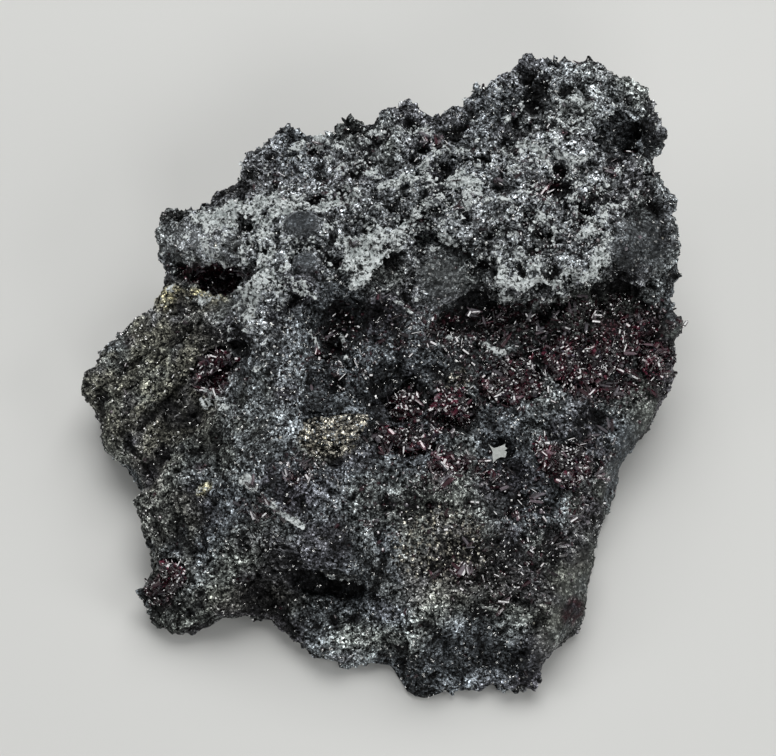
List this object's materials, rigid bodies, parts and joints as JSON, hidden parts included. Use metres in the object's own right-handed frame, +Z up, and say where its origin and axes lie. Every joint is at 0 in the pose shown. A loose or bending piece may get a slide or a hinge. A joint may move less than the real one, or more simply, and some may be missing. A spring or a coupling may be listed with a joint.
{
  "type": "proustite in matrix, mineral specimen",
  "caption": "Loose slab of dark granular ore rock with clusters of small dark red proustite crystals in its hollows, resting on its flat underside.",
  "frame": {"origin": "on the flat underside, at the middle of the slab's plan", "axes": "+Z up out of the crystal side, +Y towards the high back edge, +X to the right seen from the front edge"},
  "size_m": [0.0913, 0.0921, 0.0345],
  "materials": {
    "ore_rock": "rough, granular dark grey ore with pale frosting",
    "proustite": "bright adamantine, very dark red",
    "pyrite": "fine brassy sparkle",
    "calcite": "satin, pale grey"
  },
  "bodies": {
    "root": {"matrix": "ore_rock", "proustite_ledge_cluster": "proustite", "proustite_fan_cluster": "proustite", "proustite_edge_cluster": "proustite", "proustite_slope_cluster": "proustite", "proustite_centre_cluster": "proustite", "proustite_red_grain_cluster": "proustite", "proustite_front_row_cluster": "proustite", "proustite_low_cluster": "proustite", "proustite_pocket_cluster": "proustite", "proustite_streak_cluster": "proustite", "proustite_corner_cluster": "proustite", "pyrite_druse": "pyrite", "calcite_flake": "calcite"}
  },
  "joints": []
}
